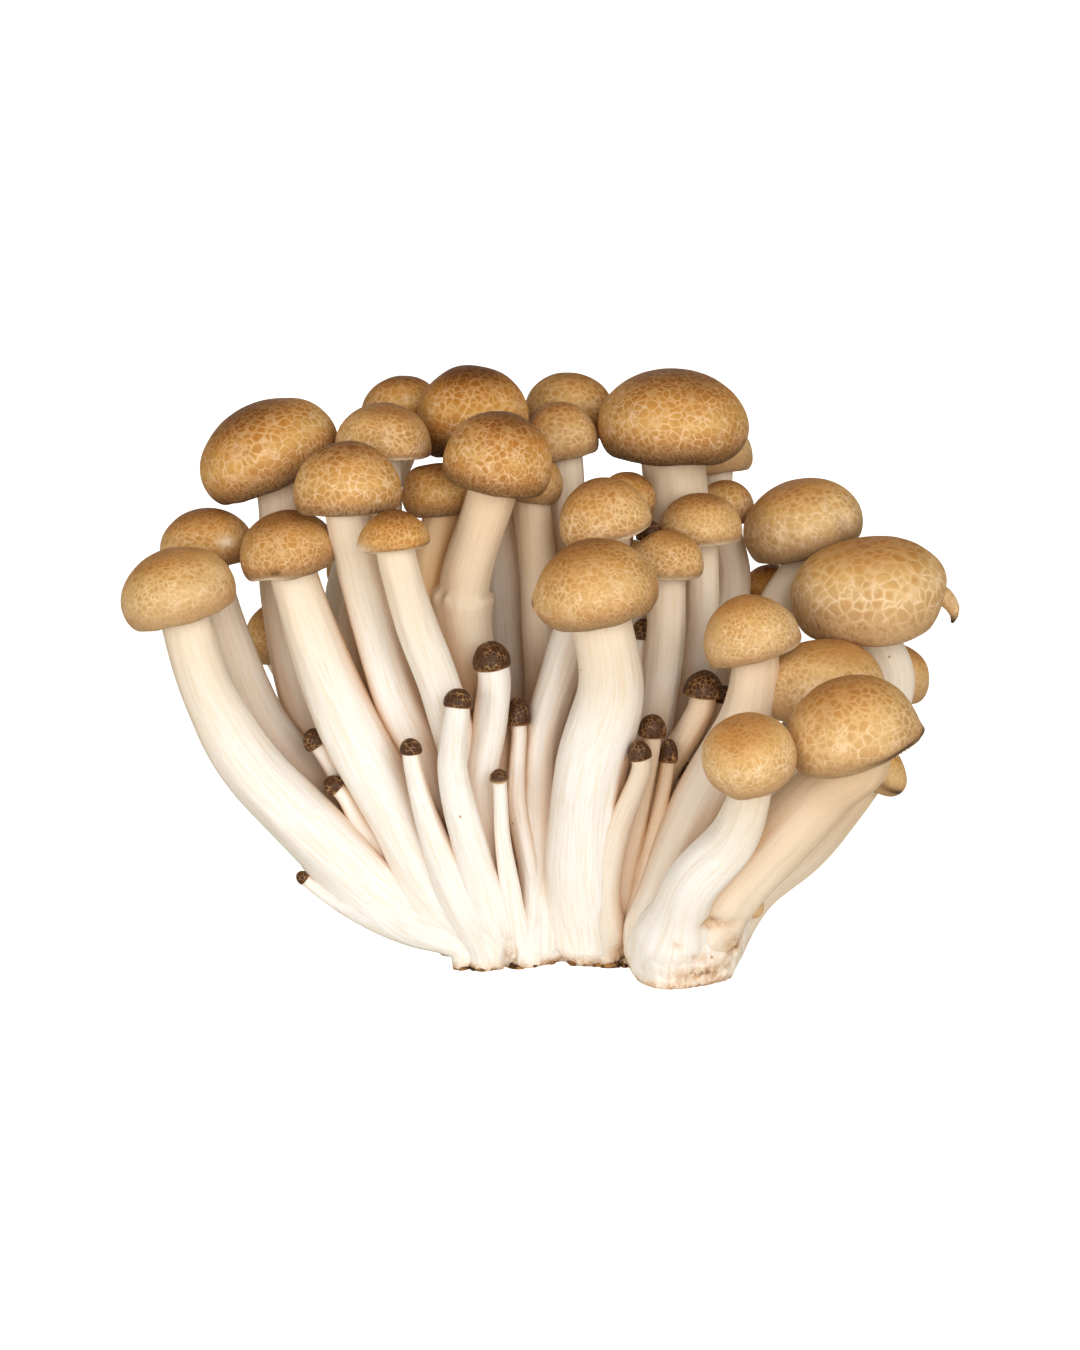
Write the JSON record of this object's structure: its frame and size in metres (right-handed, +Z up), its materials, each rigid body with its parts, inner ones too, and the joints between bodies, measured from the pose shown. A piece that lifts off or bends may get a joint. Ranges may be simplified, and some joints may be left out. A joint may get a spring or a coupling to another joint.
{
  "type": "beech mushroom cluster",
  "caption": "Cluster of brown beech mushrooms fused at a cut base: white curved stems, round brown caps with a pale net, and small dark buttons. It stands on its base.",
  "frame": {"origin": "on the cut base, under the middle of the cluster's width", "axes": "+Z up from the cut base, +X along the cluster's width, -Y towards the side that the picture shows"},
  "size_m": [0.1248, 0.0798, 0.0897],
  "materials": {
    "stem": "matt white flesh with fine lengthwise fibres",
    "cap": "smooth, slightly moist golden-brown skin with a pale net",
    "button": "matt dark-brown skin"
  },
  "bodies": {
    "root": {"cap_left_1": "cap", "cap_left_2": "cap", "cap_left_3": "cap", "cap_left_4": "cap", "cap_left_5": "cap", "cap_left_6": "cap", "cap_left_7": "cap", "cap_left_8": "cap", "cap_middle_1": "cap", "cap_middle_2": "cap", "cap_middle_3": "cap", "cap_middle_4": "cap", "cap_middle_5": "cap", "cap_middle_6": "cap", "cap_middle_7": "cap", "cap_middle_8": "cap", "cap_middle_9": "cap", "cap_middle_10": "cap", "cap_middle_11": "cap", "cap_middle_12": "cap", "cap_middle_13": "cap", "cap_middle_14": "cap", "cap_middle_15": "cap", "cap_right_1": "cap", "cap_right_2": "cap", "cap_right_3": "cap", "cap_right_4": "cap", "cap_right_5": "cap", "cap_right_6": "cap", "cap_right_7": "cap", "cap_right_8": "cap", "cap_back_1": "cap", "cap_back_2": "cap", "cap_back_3": "cap", "cap_back_4": "cap", "cap_right_9": "cap", "button_1": "button", "button_2": "button", "button_3": "button", "button_4": "button", "button_5": "button", "button_6": "button", "button_7": "button", "button_8": "button", "button_9": "button", "button_10": "button", "button_11": "button", "button_12": "button", "button_13": "button", "button_14": "button", "button_15": "button", "button_16": "button", "button_17": "button", "button_18": "button", "stems": "stem"}
  },
  "joints": []
}
